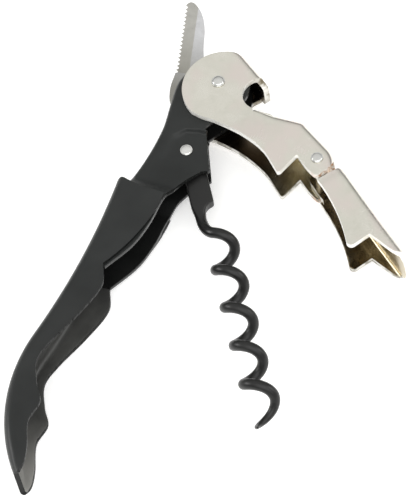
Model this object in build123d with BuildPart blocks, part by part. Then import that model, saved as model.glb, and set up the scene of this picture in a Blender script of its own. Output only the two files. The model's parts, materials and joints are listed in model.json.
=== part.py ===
from build123d import *
import math
import os

# Double-hinged lever corkscrew, lying on its side. Millimetres, +Z up.
# The handle runs along Y with its head at +Y, and the channels open towards +X.
# The origin is under the middle of the whole object, on the plane it lies on.
# All outlines are side views measured from the lever pivot.

os.makedirs("parts", exist_ok=True)

# ---- driving dimensions --------------------------------------------------
handle_width = 13.0            # outside width of the handle shell
mid_z = handle_width / 2       # every piece is centred on this height
lever_pivot = (-18.34, 41.39)  # place of the lever pivot in the XY plane

boot_pivot = (28.1, -13.9)     # these three are measured from the lever pivot
worm_pivot = (-1.7, -17.9)
knife_pivot = (-6.0, -3.0)

shell_wall = 1.1
shell_bend = 1.6               # outside bend radii
frame_bend = 1.4
frame_sheet = 1.0
lever_sheet = 1.4
boot_sheet = 1.3
knife_thickness = 1.0
shank_thickness = 2.8

frame_head_half = 3.6          # half widths over the outside of each channel
frame_tail_half = 5.3
frame_pad_half = 2.7
lever_head_half = 5.2
lever_arm_half = 6.0
boot_ear_half = 4.5
boot_body_half = 6.0

fit_gap = 0.05                 # radial play of a turning joint
snug_gap = 0.01                # radial play of a rivet that is fixed in its hole
lever_shaft_r = 1.15
worm_shaft_r = 1.0
boot_shaft_r = 1.0
knife_shaft_r = 1.0

wire_r = 1.22                  # worm
coil_r = 2.63
coil_pitch = 9.75
coil_offset = 2.75             # coil axis to the side of the worm pivot
coil_start = 20.1              # distance along the worm where the coil's first left side lies
coil_turns = 4.96
taper_turns = 0.75
worm_angle = -59.2             # direction of the worm, degrees from +X

reach = 100.0                  # longer than anything it has to cut through
diagonal = math.sqrt(0.5)


def side(height=0.0, at=(0.0, 0.0)):
    """Side-view plane through a point measured from the lever pivot."""
    return Plane(origin=(lever_pivot[0] + at[0], lever_pivot[1] + at[1], mid_z + height))


def along(angle, at=(0.0, 0.0)):
    """Edge-on plane: X runs at the given angle, Y is the height, seen across the channel."""
    direction = (math.cos(math.radians(angle)), math.sin(math.radians(angle)), 0)
    across = (direction[1], -direction[0], 0)
    origin = (lever_pivot[0] + at[0], lever_pivot[1] + at[1], mid_z)
    return Plane(origin=origin, x_dir=direction, z_dir=across)


def mirrored(stations):
    """Closed outline, symmetric about the X axis, from (x, half width) stations."""
    return stations + [(x, -half) for x, half in reversed(stations)]


def edges_near(part, *points):
    """The edges that pass within half a millimetre of side-view points, on both faces."""
    found = []
    for x, y, height in points:
        for sign in (1, -1):
            spot = Vector(lever_pivot[0] + x, lever_pivot[1] + y, mid_z + sign * height)
            found += [e for e in part.edges() if e.distance_to(spot) < 0.5 and e not in found]
    return found


def rivet(name, at, shaft_r, head_r, half_length, head_height):
    """Rivet along Z with a low domed head at each end."""
    rim = half_length + head_height * 0.35
    crown = half_length + head_height
    dome_r = (head_r**2 + (crown - rim) ** 2) / (2 * (crown - rim))
    halfway = crown - dome_r + math.sqrt(dome_r**2 - head_r**2 / 4)
    with BuildPart() as body:
        with BuildSketch(Plane(origin=side(0, at).origin, x_dir=(1, 0, 0), z_dir=(0, -1, 0))):
            with BuildLine():
                ThreePointArc((0, crown), (head_r / 2, halfway), (head_r, rim))
                Polyline(
                    (head_r, rim), (head_r, half_length), (shaft_r, half_length),
                    (shaft_r, -half_length), (head_r, -half_length), (head_r, -rim),
                )
                ThreePointArc((head_r, -rim), (head_r / 2, -halfway), (0, -crown))
                Line((0, -crown), (0, crown))
            make_face()
        revolve(axis=Axis(side(0, at).origin, (0, 0, 1)))
    body.part.label = name
    return body


# ---- handle shell: folded sheet, open towards the worm --------------------
lip_front = (-1.7, -31.6)
lip_back = (-13.35, -31.0)
back_bend = (-17.75, -73.06)   # where the hollow back turns into the round end
tail_back = (-9.7, -105.2)
tail_front = (-9.0, -104.9)
edge_cusp = (-8.7, -52.2)
back_hollow_r = 168.7
back_round_r = 37.4

with BuildPart() as shell_cavity:
    with BuildSketch(side()):
        with BuildLine():
            lip = (lip_back[0] + shell_wall, lip_back[1])
            bend = (back_bend[0] + shell_wall, back_bend[1])
            tail = (tail_back[0] + shell_wall * diagonal, tail_back[1] + shell_wall * diagonal)
            Polyline(lip, (lip[0], 0), (20, 0), (20, -115), (tail[0] + 4, -115), tail)
            RadiusArc(tail, bend, back_round_r - shell_wall)
            RadiusArc(bend, lip, -(back_hollow_r + shell_wall))
        make_face()
    extrude(amount=mid_z - shell_wall, both=True)

with BuildPart() as handle_shell:
    with BuildSketch(side()):
        with BuildLine():
            RadiusArc(tail_back, back_bend, back_round_r)
            RadiusArc(back_bend, lip_back, -back_hollow_r)
            Spline(lip_back, (-12.5, -30.3), (-10.4, -30.8), (-6.2, -31.6), lip_front)
            ThreePointArc(lip_front, (-3.4, -41.2), edge_cusp)
            Spline(
                edge_cusp, (-7.1, -57.3), (-9.3, -64.8), (-13.2, -74.0), (-14.3, -78.8), (-12.3, -84.0),
                (-10.1, -87.8), (-10.9, -92.8), (-8.9, -99.0), (-8.3, -102.8), tail_front,
            )
            Line(tail_front, tail_back)
        make_face()
    extrude(amount=mid_z, both=True)
    fillet(edges_near(handle_shell, (-14.4, -51.9, mid_z), (-18.4, -85.0, mid_z)), shell_bend)
    add(shell_cavity.part, mode=Mode.SUBTRACT)
handle_shell.part.label = "handle_shell"
export_step(handle_shell.part, "parts/handle_shell.step")


# ---- inner frame: folded sheet that carries every pivot -------------------
frame_back = [(-11.85, -31.5), (-9.8, -23.0), (-8.8, -14.0), (-9.3, -7.0), (-9.5, -1.0), (-7.6, 4.0)]
frame_tail_back = (-12.75, -52.4)
frame_tail_front = (-8.3, -52.6)
frame_front_corner = (5.1, -21.7)
head_clear_r = 7.15            # the lever's closed side sweeps just outside this
knife_slot = knife_thickness + 0.8
pad_line = [(8, -12.6), (-2.9, -12.9), (-5.5, -15.0), (-6.4, -27.0), (8, -27.0)]   # pressed-in pad

with BuildPart() as frame_cavity:
    with BuildSketch(side()):
        with BuildLine():
            inner_back = [(x + frame_sheet, y) for x, y in frame_back]
            Spline(inner_back)
            Polyline(inner_back[-1], (inner_back[-1][0], 20), (20, 20), (20, -60),
                     (frame_tail_back[0] + frame_sheet, -60), inner_back[0])
        make_face()
    extrude(amount=frame_tail_half, both=True)
    head_inner = frame_head_half - frame_sheet
    tail_inner = frame_tail_half - frame_sheet
    inner_stations = [(-20, head_inner), (27.3, head_inner), (31.3, tail_inner), (60, tail_inner)]
    with BuildSketch(along(-90)):
        with BuildLine():
            Polyline(mirrored(inner_stations), close=True)
        make_face()
    extrude(amount=reach, both=True, mode=Mode.INTERSECT)
    for sign in (1, -1):
        with BuildSketch(side(sign * (frame_pad_half - frame_sheet))):
            with BuildLine():
                Polyline(pad_line, close=True)
            make_face()
        extrude(amount=sign * frame_head_half, mode=Mode.SUBTRACT)

with BuildPart() as inner_frame:
    with BuildSketch(side()):
        with BuildLine():
            Spline(frame_back)
            Line(frame_back[-1], (-7.0, 4.7))
            Line((-7.0, 4.7), (-3.6, 6.15))
            ThreePointArc((-3.6, 6.15), (head_clear_r * 0.86, head_clear_r * 0.5), (5.0, -5.0))
            Polyline((5.0, -5.0), (0.6, -11.2), frame_front_corner)
            Spline(frame_front_corner, (3.3, -22.2), (0.8, -26.0), (-1.2, -30.0), (-1.9, -33.2),
                   (-2.6, -39.4), (-4.3, -45.6), frame_tail_front)
            Line(frame_tail_front, frame_tail_back)
            Line(frame_tail_back, frame_back[0])
        make_face()
    extrude(amount=frame_tail_half, both=True)
    outer_stations = [
        (-20, frame_head_half), (28.0, frame_head_half), (31.8, frame_tail_half), (60, frame_tail_half),
    ]
    with BuildSketch(along(-90)):
        with BuildLine():
            Polyline(mirrored(outer_stations), close=True)
        make_face()
    extrude(amount=reach, both=True, mode=Mode.INTERSECT)
    for sign in (1, -1):
        with BuildSketch(side(sign * frame_pad_half)):
            with BuildLine():
                Polyline(pad_line, close=True)
            make_face()
        extrude(amount=sign * frame_head_half, mode=Mode.SUBTRACT)
    add(frame_cavity.part, mode=Mode.SUBTRACT)
    with BuildSketch(side(-knife_slot / 2)):
        with BuildLine():
            Polyline((-16, 12), (0, 12), (0, -5), (-7, -7), (-7, -29.6), (-16, -29.6), close=True)
        make_face()
    extrude(amount=knife_slot, mode=Mode.SUBTRACT)
    for at, radius in (((0, 0), lever_shaft_r), (worm_pivot, worm_shaft_r), (knife_pivot, knife_shaft_r)):
        with BuildSketch(side(0, at)):
            Circle(radius + snug_gap)
        extrude(amount=mid_z, both=True, mode=Mode.SUBTRACT)
    fillet(edges_near(inner_frame, (-8.8, -14.0, frame_head_half)), frame_bend)
inner_frame.part.label = "inner_frame"
export_step(inner_frame.part, "parts/inner_frame.step")


# ---- lever, first stage ---------------------------------------------------
head_top = (3.4, 8.55)
hook_corner = (9.2, 4.2)
notch_low = (10.2, -4.84)
slope_top = (23.0, -5.95)
slope_end = (29.5, -10.35)
lever_tip = (31.7, -12.9)
lever_angle = math.degrees(math.atan2(boot_pivot[1], boot_pivot[0]))
hook_angle = math.degrees(math.atan2(hook_corner[1] - head_top[1], hook_corner[0] - head_top[0]))

with BuildPart() as lever_cavity:
    with BuildSketch(side()):
        with BuildLine():
            slant_inset = (0.6 * lever_sheet, 0.8 * lever_sheet)   # across the slanted side of the head
            Polyline(
                (head_top[0] - slant_inset[0], 13),
                (head_top[0] - slant_inset[0], head_top[1] - slant_inset[1]),
                (hook_corner[0] - slant_inset[0], hook_corner[1] - slant_inset[1]),
                (hook_corner[0] - slant_inset[0], notch_low[1] - lever_sheet),
                (22.6, notch_low[1] - 0.11 - lever_sheet),
                (28.7, -11.5), (30.3, -13.0), (36, -13.0), (36, -30), (-15, -30), (-15, 13), close=True,
            )
        make_face()
    extrude(amount=lever_arm_half, both=True)
    head_inner = lever_head_half - lever_sheet - 0.05
    arm_inner = lever_arm_half - lever_sheet
    inner_stations = [(-20, head_inner), (6, head_inner), (22, arm_inner), (60, arm_inner)]
    with BuildSketch(along(lever_angle)):
        with BuildLine():
            Polyline(mirrored(inner_stations), close=True)
        make_face()
    extrude(amount=reach, both=True, mode=Mode.INTERSECT)

with BuildPart() as lever:
    with BuildSketch(side()):
        with BuildLine():
            ThreePointArc(head_top, (-7.9, -1.0), (-3.3, -9.1))
            Spline(
                (-3.3, -9.1), (2.5, -10.0), (9.0, -11.6), (15.6, -14.9), (20.2, -19.2),
                tangents=((0.84, -0.54), (0.55, -0.83)),
            )
            ThreePointArc((20.2, -19.2), (20.75, -19.6), (21.3, -19.15))
            Line((21.3, -19.15), (23.35, -14.5))
            ThreePointArc((23.35, -14.5), (23.5, -14.35), (23.8, -14.5))
            Polyline((23.8, -14.5), (26.5, -16.85), (28.55, -18.1))
            ThreePointArc((28.55, -18.1), (29.5, -18.0), (30.05, -17.5))
            ThreePointArc((30.05, -17.5), (31.25, -15.6), lever_tip)
            ThreePointArc(lever_tip, (30.75, -11.45), slope_end)
            Line(slope_end, slope_top)
            ThreePointArc(slope_top, (22.4, -5.5), (21.6, -5.25))
            Line((21.6, -5.25), notch_low)
            ThreePointArc(notch_low, (6.2, -0.6), (8.0, 3.0))
            Line((8.0, 3.0), hook_corner)
            Line(hook_corner, head_top)
        make_face()
    extrude(amount=lever_arm_half, both=True)
    outer_stations = [
        (-20, lever_head_half), (6, lever_head_half), (22, lever_arm_half), (60, lever_arm_half),
    ]
    with BuildSketch(along(lever_angle)):
        with BuildLine():
            Polyline(mirrored(outer_stations), close=True)
        make_face()
    extrude(amount=reach, both=True, mode=Mode.INTERSECT)
    add(lever_cavity.part, mode=Mode.SUBTRACT)
    hook_plane = Plane(
        origin=side(0, hook_corner).origin,
        x_dir=(math.cos(math.radians(hook_angle)), math.sin(math.radians(hook_angle)), 0),
        z_dir=(math.sin(math.radians(hook_angle)), -math.cos(math.radians(hook_angle)), 0),
    )
    with BuildSketch(hook_plane):
        with Locations((0.6, 0)):
            RectangleRounded(3.2, 2 * (lever_head_half - 0.1), 1.5)
    extrude(amount=lever_sheet)
    for at, radius in (((0, 0), lever_shaft_r + fit_gap), (boot_pivot, boot_shaft_r + snug_gap)):
        with BuildSketch(side(0, at)):
            Circle(radius)
        extrude(amount=mid_z, both=True, mode=Mode.SUBTRACT)
lever.part.label = "lever"
export_step(lever.part, "parts/lever.step")


# ---- lever, second stage: the boot ----------------------------------------
boot_angle = -41.3
shoulder_low = (29.75, -19.0)
shoulder_high = (33.37, -14.9)
boot_toe = (53.6, -31.2)
boot_ear_r = 2.15
tongue_half = boot_body_half - 0.4
boot_crest = (34.4, -15.0)     # where the closed side starts
toe_angle = math.degrees(math.atan2(boot_toe[1] - boot_crest[1] - 0.1, boot_toe[0] - boot_crest[0]))

with BuildPart() as boot_cavity:
    with BuildSketch(side()):
        with BuildLine():
            Polyline(
                (20, -14.2), (33.7, -16.6), (43.0, -24.6), (55.0, -34.2), (55, -45), (20, -45), close=True,
            )
        make_face()
    extrude(amount=boot_body_half, both=True)
    ear_inner = boot_ear_half - boot_sheet
    body_inner = boot_body_half - boot_sheet
    inner_stations = [(-10, ear_inner), (5.0, ear_inner), (5.7, 4.3), (7.4, body_inner), (60, body_inner)]
    with BuildSketch(along(boot_angle, boot_pivot)):
        with BuildLine():
            Polyline(mirrored(inner_stations), close=True)
        make_face()
    extrude(amount=reach, both=True, mode=Mode.INTERSECT)
    with BuildSketch(side()):
        with BuildLine():
            Polyline((20, -8), (31.6, -8), shoulder_high, (31.0, -20), (20, -22), close=True)
        make_face()
    extrude(amount=ear_inner, both=True)

with BuildPart() as boot:
    with BuildSketch(side()):
        with BuildLine():
            Line(shoulder_high, boot_crest)
            ThreePointArc(boot_crest, (43.0, -22.7), boot_toe)
            ThreePointArc(boot_toe, (52.3, -32.5), (50.6, -32.4))
            Line((50.6, -32.4), (45.4, -30.25))
            ThreePointArc((45.4, -30.25), (45.1, -30.15), (44.9, -30.35))
            Line((44.9, -30.35), (42.6, -33.4))
            ThreePointArc((42.6, -33.4), (41.5, -33.85), (40.6, -33.0))
            ThreePointArc((40.6, -33.0), (36.1, -25.8), shoulder_low)
            Line(shoulder_low, shoulder_high)
        make_face()
        with BuildLine():
            Polyline((28.1, -13.9), (29.5, -12.3), (32.6, -15.8), (30.1, -18.6), (27.0, -15.7), close=True)
        make_face()
        with Locations(boot_pivot):
            Circle(boot_ear_r)
    extrude(amount=boot_body_half, both=True)
    outer_stations = [
        (-10, boot_ear_half), (4.6, boot_ear_half), (4.95, 5.6), (7.0, boot_body_half), (60, boot_body_half),
    ]
    with BuildSketch(along(boot_angle, boot_pivot)):
        with BuildLine():
            Polyline(mirrored(outer_stations), close=True)
        make_face()
    extrude(amount=reach, both=True, mode=Mode.INTERSECT)
    add(boot_cavity.part, mode=Mode.SUBTRACT)
    toe_plane = Plane(
        origin=side(0, boot_toe).origin,
        x_dir=(math.cos(math.radians(toe_angle)), math.sin(math.radians(toe_angle)), 0),
        z_dir=(math.sin(math.radians(toe_angle)), -math.cos(math.radians(toe_angle)), 0),
    )
    with BuildSketch(toe_plane):
        with BuildLine():
            Polyline((0, tongue_half), (-1.5, tongue_half), (-1.5, -tongue_half), (0, -tongue_half))
            ThreePointArc((0, -tongue_half), (2.2, 0), (0, tongue_half))
        make_face()
    extrude(amount=boot_sheet)
    with BuildSketch(side(0, boot_pivot)):
        Circle(boot_shaft_r + fit_gap)
    extrude(amount=mid_z, both=True, mode=Mode.SUBTRACT)
boot.part.label = "boot"
export_step(boot.part, "parts/boot.step")


# ---- worm: flat shank, barb, left-hand coil and tapered point --------------
worm_rad = math.radians(worm_angle)
worm_dir = Vector(math.cos(worm_rad), math.sin(worm_rad), 0)
worm_side = Vector(-math.sin(worm_rad), math.cos(worm_rad), 0)
worm_origin = side(0, worm_pivot).origin
up = Vector(0, 0, 1)


def coil_axis_point(turn):
    """Point on the coil's axis."""
    return worm_origin + worm_dir * (coil_start + coil_pitch * turn) + worm_side * coil_offset


def coil_point(turn):
    """Point on the coil's centre line, counted in turns from its first left side."""
    angle = 2 * math.pi * (turn + 0.5)
    return coil_axis_point(turn) + (worm_side * math.cos(angle) - up * math.sin(angle)) * coil_r


def coil_direction(turn):
    """Direction of the coil's centre line at that point."""
    angle = 2 * math.pi * (turn + 0.5)
    rise = coil_pitch / (2 * math.pi)
    around = worm_side * math.sin(angle) + up * math.cos(angle)
    return (worm_dir * rise - around * coil_r).normalized()


def coil_plane(turn):
    """Plane whose Z is the coil axis and whose X points at the wire."""
    axis_point = coil_axis_point(turn)
    return Plane(origin=axis_point, x_dir=coil_point(turn) - axis_point, z_dir=worm_dir)


coil_first = 0.17              # turn where the neck joins the coil
neck_start = 15.5              # distance along the worm and to its side where the neck leaves the shank
neck_side = -0.35
shank_low = -1.94              # the shank's two long edges, to the side of the worm pivot
shank_high = 3.3
point_r = 0.22
plain_turns = coil_turns - taper_turns - coil_first
plain_helix = Helix(coil_pitch, coil_pitch * plain_turns, coil_r, lefthand=True)
coil_path = coil_plane(coil_first).from_local_coords(plain_helix)
taper_helix = Helix(coil_pitch, coil_pitch * taper_turns, coil_r, lefthand=True)
taper_path = coil_plane(coil_turns - taper_turns).from_local_coords(taper_helix)

with BuildPart() as worm:
    with BuildSketch(Plane(origin=worm_origin, x_dir=worm_dir, z_dir=(0, 0, 1))):
        with BuildLine():
            shank_middle = (shank_low + shank_high) / 2
            ThreePointArc((0, shank_low), (shank_low - shank_middle, shank_middle), (0, shank_high))
            Line((0, shank_high), (13.3, shank_high))
            ThreePointArc((13.3, shank_high), (13.75, 3.15), (13.8, 2.8))
            ThreePointArc((13.8, 2.8), (14.8, 1.3), (16.8, 0.75))
            Line((16.8, 0.75), (16.8, -1.45))
            Spline((16.8, -1.45), (14.5, -1.8), (12.0, shank_low))
            Line((12.0, shank_low), (0, shank_low))
        make_face()
    extrude(amount=shank_thickness / 2, both=True)
    with BuildLine() as neck:
        start = worm_origin + worm_dir * neck_start + worm_side * neck_side
        Spline(
            start, coil_point(coil_first),
            tangents=(worm_dir, coil_direction(coil_first)), tangent_scalars=(0.9, 0.9),
        )
    with BuildSketch(Plane(origin=start, z_dir=worm_dir)):
        Circle(wire_r)
    sweep(path=neck.line)
    with BuildSketch(Plane(origin=coil_path @ 0, z_dir=coil_path % 0)):
        Circle(wire_r)
    sweep(path=coil_path, is_frenet=True)
    with BuildSketch(Plane(origin=taper_path @ 0, z_dir=taper_path % 0)):
        Circle(wire_r)
    with BuildSketch(Plane(origin=taper_path @ 1, z_dir=taper_path % 1)):
        Circle(point_r)
    sweep(path=taper_path, is_frenet=True, multisection=True)
    with BuildSketch(side(0, worm_pivot)):
        Circle(worm_shaft_r + fit_gap)
    extrude(amount=mid_z, both=True, mode=Mode.SUBTRACT)
worm.part.label = "worm"
export_step(worm.part, "parts/worm.step")


# ---- foil knife -------------------------------------------------------------
tooth_heel = (-11.8, 2.6)
tooth_tip = (-15.9, 21.4)
tooth_count = 17
tooth_depth = 0.55

with BuildPart() as knife:
    run = Vector(tooth_tip[0] - tooth_heel[0], tooth_tip[1] - tooth_heel[1])
    inward = Vector(run.Y, -run.X).normalized() * tooth_depth
    teeth = [Vector(*tooth_heel)]
    for number in range(tooth_count):
        valley = Vector(*tooth_heel) + run * ((number + 0.35) / tooth_count) + inward
        teeth += [valley, Vector(*tooth_heel) + run * ((number + 1) / tooth_count)]
    with BuildSketch(side()):
        with BuildLine():
            Polyline([(p.X, p.Y) for p in teeth])
            Spline(
                tooth_tip, (-15.2, 22.35), (-14.0, 22.3), (-11.2, 19.7), (-9.2, 15.8), (-7.6, 10.3),
                (-3.6, 0.2),
            )
            ThreePointArc((-3.6, 0.2), (-2.9, -5.3), (-7.0, -6.9))
            Spline((-7.0, -6.9), (-9.9, -5.9), (-11.5, -1.9), tooth_heel)
        make_face()
        with Locations(knife_pivot):
            Circle(knife_shaft_r + fit_gap, mode=Mode.SUBTRACT)
    extrude(amount=knife_thickness / 2, both=True)
knife.part.label = "knife"
export_step(knife.part, "parts/knife.step")

spacer_gap = 0.03
spacer_length = frame_head_half - frame_sheet - knife_thickness / 2 - 2 * spacer_gap
with BuildPart() as knife_spacers:
    for sign in (1, -1):
        with BuildSketch(side(sign * (knife_thickness / 2 + spacer_gap), knife_pivot)):
            Circle(1.9)
            Circle(knife_shaft_r + snug_gap, mode=Mode.SUBTRACT)
        extrude(amount=sign * spacer_length)
knife_spacers.part.label = "knife_spacers"
export_step(knife_spacers.part, "parts/knife_spacers.step")


# ---- rivets -----------------------------------------------------------------
lever_rivet = rivet("lever_rivet", (0, 0), lever_shaft_r, 1.52, lever_head_half + 0.05, 0.45)
export_step(lever_rivet.part, "parts/lever_rivet.step")

worm_rivet = rivet("worm_rivet", worm_pivot, worm_shaft_r, 1.4, frame_pad_half + 0.01, 0.3)
export_step(worm_rivet.part, "parts/worm_rivet.step")

boot_rivet = rivet("boot_rivet", boot_pivot, boot_shaft_r, 1.38, lever_arm_half + 0.01, 0.42)
export_step(boot_rivet.part, "parts/boot_rivet.step")

with BuildPart() as knife_pin:
    with BuildSketch(side(0, knife_pivot)):
        Circle(knife_shaft_r)
    extrude(amount=frame_head_half, both=True)
knife_pin.part.label = "knife_pin"
export_step(knife_pin.part, "parts/knife_pin.step")
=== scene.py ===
import json
import math

import bmesh
import bpy
from mathutils import Matrix, Vector, noise


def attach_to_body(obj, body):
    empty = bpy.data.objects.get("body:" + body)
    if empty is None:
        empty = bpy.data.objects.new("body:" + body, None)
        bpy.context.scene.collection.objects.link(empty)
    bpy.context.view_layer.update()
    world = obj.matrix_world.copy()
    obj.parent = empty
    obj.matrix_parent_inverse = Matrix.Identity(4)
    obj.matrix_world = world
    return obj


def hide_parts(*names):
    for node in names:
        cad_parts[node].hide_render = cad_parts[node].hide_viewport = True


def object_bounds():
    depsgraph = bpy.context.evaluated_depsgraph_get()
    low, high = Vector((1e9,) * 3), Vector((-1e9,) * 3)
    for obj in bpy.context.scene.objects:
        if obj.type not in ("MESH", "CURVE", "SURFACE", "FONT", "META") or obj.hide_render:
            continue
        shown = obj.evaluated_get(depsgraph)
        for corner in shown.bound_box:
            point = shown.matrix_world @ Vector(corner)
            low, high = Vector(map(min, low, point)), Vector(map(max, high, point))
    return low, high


# Looks of a double-hinged lever corkscrew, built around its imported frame.
# Outlines are side views in millimetres, measured from the lever pivot, as in the CAD. They differ from
# the CAD's a little in the boot, the lever's lower web and the worm's coil. The frame is in metres.
# Z runs across the tool, and every piece is laid out with Z = 0 in the middle of its width.

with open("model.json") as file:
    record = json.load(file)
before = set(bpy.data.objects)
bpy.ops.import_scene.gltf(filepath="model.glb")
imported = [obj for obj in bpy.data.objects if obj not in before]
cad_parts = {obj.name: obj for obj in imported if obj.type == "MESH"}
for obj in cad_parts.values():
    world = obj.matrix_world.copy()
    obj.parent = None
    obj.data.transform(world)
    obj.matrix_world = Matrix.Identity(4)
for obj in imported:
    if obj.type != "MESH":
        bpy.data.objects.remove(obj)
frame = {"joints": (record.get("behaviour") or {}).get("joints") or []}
cad_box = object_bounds()

MM = 0.001
SAME_PLACE = 0.02     # points nearer than this are one point
BEND_STEPS = 7        # faces round a quarter bend
END_FADE = 2.6        # length over which the end of a web turns into its plain section
TONGUE_STEPS = 8      # rows of a rounded tongue
TONGUE_REACH = 0.985  # its last row stops just short of a single point
WALL_PITCH = 0.6      # size of the squares that a wall is cut into
WIRE_SIDES = 32       # corners round the worm
pivot = {joint["child"]: Vector(joint["pos_m"]) for joint in frame["joints"]}
head = pivot["lever"]


def from_head(point):
    """A place of the frame as a side-view point."""
    return ((point.x - head.x) / MM, (point.y - head.y) / MM)


boot_pivot = from_head(pivot["boot"])
worm_pivot = from_head(pivot["worm"])
knife_pivot = from_head(pivot["knife"])


# ---- outlines ---------------------------------------------------------------
def arc(start, via, end, step=0.35):
    """Points on the circle through three points, both ends included."""
    (ax, ay), (bx, by), (cx, cy) = start, via, end
    d = 2 * (ax * (by - cy) + bx * (cy - ay) + cx * (ay - by))
    a2, b2, c2 = ax * ax + ay * ay, bx * bx + by * by, cx * cx + cy * cy
    ox = (a2 * (by - cy) + b2 * (cy - ay) + c2 * (ay - by)) / d
    oy = (a2 * (cx - bx) + b2 * (ax - cx) + c2 * (bx - ax)) / d
    radius = math.hypot(ax - ox, ay - oy)
    first = math.atan2(ay - oy, ax - ox)
    turn = (math.atan2(cy - oy, cx - ox) - first) % math.tau
    if (math.atan2(by - oy, bx - ox) - first) % math.tau > turn:
        turn -= math.tau
    count = max(4, math.ceil(abs(turn) * radius / step))
    angles = [first + turn * i / count for i in range(count + 1)]
    return [(ox + radius * math.cos(t), oy + radius * math.sin(t)) for t in angles]


def bow(start, end, radius):
    """Arc of that radius, bulging to the right of the way, or to the left if radius is negative."""
    dx, dy = end[0] - start[0], end[1] - start[1]
    chord = math.hypot(dx, dy)
    rise = abs(radius) - math.sqrt(radius**2 - chord**2 / 4)
    side = math.copysign(rise, radius) / chord
    via = ((start[0] + end[0]) / 2 + dy * side, (start[1] + end[1]) / 2 - dx * side)
    return arc(start, via, end)


def flow(*points, step=0.4):
    """Smooth curve through the points."""
    found = []
    ends = [points[0]] + list(points) + [points[-1]]
    for a, b, c, d in zip(ends, ends[1:], ends[2:], ends[3:]):
        a, b, c, d = Vector(a), Vector(b), Vector(c), Vector(d)
        length = max((c - b).length, 1e-6)
        slope_b = (c - a) * (length / max((c - b).length + (b - a).length, 1e-6))
        slope_c = (d - b) * (length / max((d - c).length + (c - b).length, 1e-6))
        count = max(2, math.ceil(length / step))
        for i in range(count):
            t = i / count
            place = b * (2 * t**3 - 3 * t**2 + 1) + c * (3 * t**2 - 2 * t**3)
            place += slope_b * (t**3 - 2 * t**2 + t) + slope_c * (t**3 - t**2)
            found.append(tuple(place))
    return found + [tuple(points[-1])]


def joined(*parts):
    """One line of points from several, without repeats."""
    line = []
    for part in parts:
        for point in part:
            if not line or math.dist(line[-1], point) > SAME_PLACE:
                line.append(point)
    return line


def filled(line, step=0.5):
    """The same line with its long stretches divided."""
    found = [line[0]]
    for one, two in zip(line, line[1:]):
        count = max(1, math.ceil(math.dist(one, two) / step))
        for i in range(1, count + 1):
            share = i / count
            found.append((one[0] + (two[0] - one[0]) * share, one[1] + (two[1] - one[1]) * share))
    return found


def ramp(value, *stations):
    """Smooth steps between (place, height) stations."""
    if value <= stations[0][0]:
        return stations[0][1]
    for (a, low), (b, high) in zip(stations, stations[1:]):
        if value < b:
            t = (value - a) / (b - a)
            return low + (high - low) * t * t * (3 - 2 * t)
    return stations[-1][1]


def distance_to(line, x, y):
    """Distance from a point to a line of points."""
    best = 1e9
    for (ax, ay), (bx, by) in zip(line, line[1:]):
        dx, dy = bx - ax, by - ay
        t = max(0.0, min(1.0, ((x - ax) * dx + (y - ay) * dy) / max(dx * dx + dy * dy, 1e-9)))
        best = min(best, math.hypot(ax + dx * t - x, ay + dy * t - y))
    return best


def inside(polygon, x, y):
    """True if a point is inside a closed outline."""
    found = False
    for (ax, ay), (bx, by) in zip(polygon, polygon[1:] + polygon[:1]):
        if (ay > y) != (by > y) and x < (bx - ax) * (y - ay) / (by - ay) + ax:
            found = not found
    return found


# ---- mesh helpers -----------------------------------------------------------
def cut_flat(mesh, place, normal):
    """Cuts the flat walls, whose corners are all at one height, with an upright plane."""
    faces = [f for f in mesh.faces if max(v.co.z for v in f.verts) - min(v.co.z for v in f.verts) < 1e-5]
    edges = {e for f in faces for e in f.edges}
    verts = {v for f in faces for v in f.verts}
    geometry = list(verts) + list(edges) + faces
    bmesh.ops.bisect_plane(mesh, geom=geometry, dist=1e-4, plane_co=place, plane_no=normal)


def grid_cut(mesh, pitch):
    """Cuts the flat walls on a square grid, so that they can be pressed and curved."""
    for axis in (0, 1):
        low = min(v.co[axis] for v in mesh.verts)
        high = max(v.co[axis] for v in mesh.verts)
        normal = Vector((axis == 0, axis == 1, 0))
        for number in range(1, math.ceil((high - low) / pitch)):
            cut_flat(mesh, normal * (low + number * pitch), normal)


def cut_along(mesh, line, offsets):
    """Cuts the flat walls along lines beside each stretch of a line of points."""
    for (ax, ay), (bx, by) in zip(line, line[1:]):
        normal = Vector((by - ay, ax - bx, 0)).normalized()
        for offset in offsets:
            cut_flat(mesh, Vector((ax, ay, 0)) + normal * offset, normal)


def to_object(mesh, name, materials):
    """Turns a bmesh in millimetres, measured from the lever pivot, into an object in the frame."""
    for v in mesh.verts:
        v.co = head + v.co * MM
    data = bpy.data.meshes.new(name)
    mesh.to_mesh(data)
    mesh.free()
    obj = bpy.data.objects.new(name, data)
    bpy.context.scene.collection.objects.link(obj)
    for material in materials:
        data.materials.append(material)
    return obj


def modifier(obj, kind, **settings):
    """Adds a modifier with these settings."""
    found = obj.modifiers.new(kind.title(), kind)
    for key, value in settings.items():
        setattr(found, key, value)


def settle(obj, smooth_angle=35):
    """Applies the modifiers and shades the piece smooth between its sharp edges."""
    graph = bpy.context.evaluated_depsgraph_get()
    data = bpy.data.meshes.new_from_object(obj.evaluated_get(graph))
    obj.modifiers.clear()
    obj.data = data
    data.shade_smooth()
    data.set_sharp_from_angle(angle=math.radians(smooth_angle))
    modifier(obj, "WEIGHTED_NORMAL", keep_sharp=True, weight=80)


def rounded_edges(obj, width, material=None, segments=2):
    """Breaks the sharp edges with a small bevel."""
    modifier(
        obj, "BEVEL", width=width * MM, segments=segments, limit_method="ANGLE",
        angle_limit=math.radians(40), use_clamp_overlap=True,
        material=-1 if material is None else material,
    )


def lengths(points):
    """Distance along a line of points, at each point."""
    found = [0.0]
    for one, two in zip(points, points[1:]):
        found.append(found[-1] + math.dist(one, two))
    return found


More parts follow.
